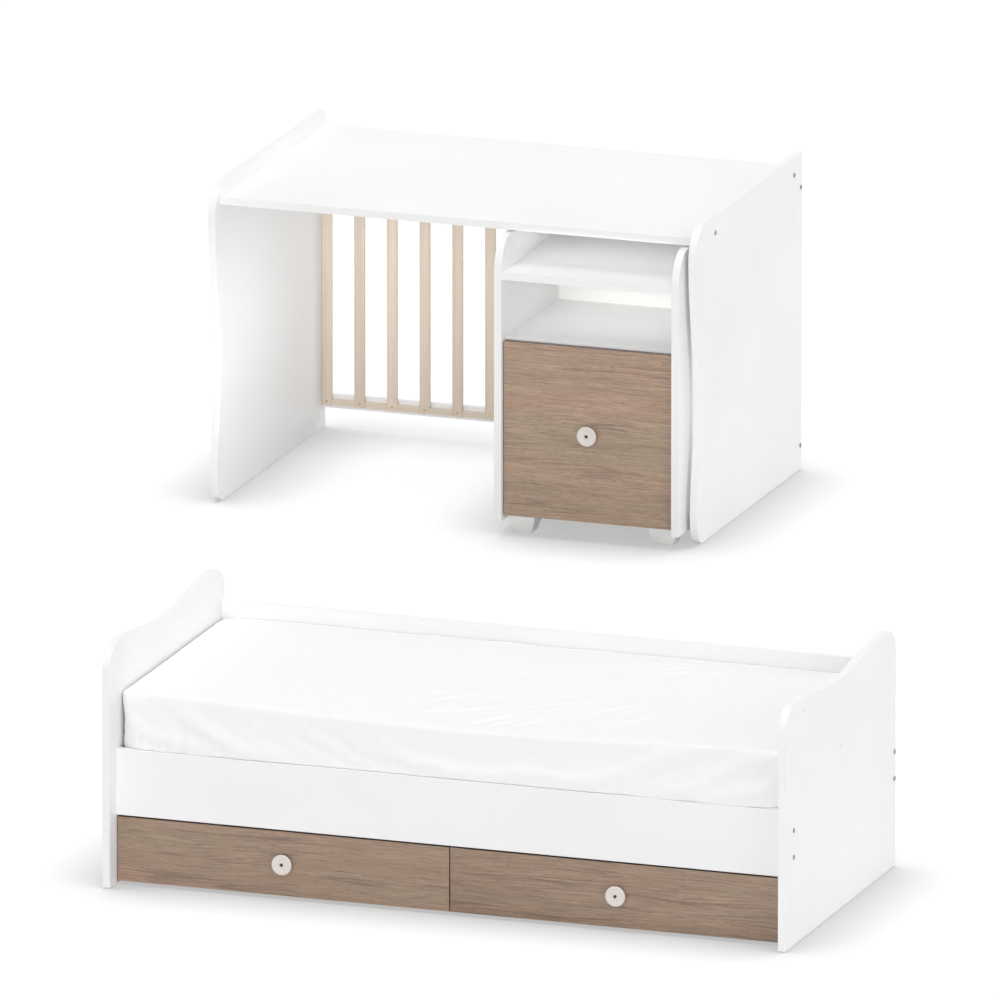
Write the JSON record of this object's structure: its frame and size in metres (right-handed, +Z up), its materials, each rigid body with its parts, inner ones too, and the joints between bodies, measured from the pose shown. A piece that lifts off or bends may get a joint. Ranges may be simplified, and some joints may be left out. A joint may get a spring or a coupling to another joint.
{
  "type": "convertible crib",
  "caption": "Convertible crib set up as a junior bed with drawers and mattress, beside a writing desk with a slatted back and a free-standing drawer cabinet.",
  "frame": {"origin": "on the floor, under the middle of the whole set's bounding box", "axes": "+Z up; +Y from the bed's front towards the desk; +X to the right as seen from the drawers' fronts"},
  "size_m": [2.553, 4.02, 0.78],
  "materials": {
    "white_laminate": "white melamine-faced particle board, satin",
    "oak_laminate": "grey-brown oak print on melamine-faced board, satin, grain across",
    "beech": "clear-lacquered beech, satin",
    "white_lacquer": "white lacquered wood, satin",
    "hardboard": "white-faced hardboard, matt",
    "steel": "zinc-plated steel, satin",
    "knob_plastic": "warm light grey moulded plastic, satin",
    "white_plastic": "white moulded plastic",
    "mattress_ticking": "woven cotton ticking over foam",
    "cotton_sheet": "white cotton jersey fitted sheet"
  },
  "bodies": {
    "frame": {"bed_left_end_board": "white_laminate", "bed_right_end_board": "white_laminate", "bed_front_rail": "white_laminate", "bed_back_rail": "white_laminate", "bed_back_guard": "white_laminate", "bed_guard_dowels": "beech", "bed_centre_support": "white_laminate", "bed_slat_ledges": "beech", "bed_slats": "beech", "bed_slat_screws": "steel", "bed_bolts": "steel", "bed_hole_caps": "white_plastic", "bed_floor_glides": "white_plastic", "bed_drawer_rails": "beech", "mattress": "mattress_ticking", "fitted_sheet": "cotton_sheet", "desk_left_panel": "white_laminate", "desk_right_panel": "white_laminate", "desk_top": "white_laminate", "desk_top_rail": "white_laminate", "desk_bottom_rail": "white_laminate", "desk_slats": "beech", "desk_slat_fillets": "beech", "desk_slat_screws": "steel", "desk_bolts": "steel", "desk_floor_glides": "white_plastic", "cabinet_left_side": "white_laminate", "cabinet_right_side": "white_laminate", "cabinet_upper_shelf": "white_laminate", "cabinet_rear_deck": "white_laminate", "cabinet_compartment_floor": "white_laminate", "cabinet_bottom_board": "white_laminate", "cabinet_inner_back": "white_laminate", "cabinet_back_panel": "hardboard", "cabinet_feet": "white_lacquer", "cabinet_screws": "steel", "cabinet_drawer_rails": "beech"},
    "left_drawer": {"left_drawer_front": "oak_laminate", "left_drawer_sides": "white_laminate", "left_drawer_back": "white_laminate", "left_drawer_bottom": "hardboard", "left_drawer_runners": "steel", "left_drawer_fittings": "steel", "left_drawer_knob": "knob_plastic"},
    "right_drawer": {"right_drawer_front": "oak_laminate", "right_drawer_sides": "white_laminate", "right_drawer_back": "white_laminate", "right_drawer_bottom": "hardboard", "right_drawer_runners": "steel", "right_drawer_fittings": "steel", "right_drawer_knob": "knob_plastic"},
    "cabinet_drawer": {"cabinet_drawer_front": "oak_laminate", "cabinet_drawer_sides": "white_laminate", "cabinet_drawer_back": "white_laminate", "cabinet_drawer_bottom": "hardboard", "cabinet_drawer_runners": "steel", "cabinet_drawer_fittings": "steel", "cabinet_drawer_knob": "knob_plastic"}
  },
  "joints": [
    {"name": "left_drawer_slide", "type": "slide", "parent": "frame", "child": "left_drawer", "axis": [0, -1, 0], "range_m": [0, 0.4]},
    {"name": "right_drawer_slide", "type": "slide", "parent": "frame", "child": "right_drawer", "axis": [0, -1, 0], "range_m": [0, 0.4]},
    {"name": "cabinet_drawer_slide", "type": "slide", "parent": "frame", "child": "cabinet_drawer", "axis": [0, -1, 0], "range_m": [0, 0.24]}
  ]
}
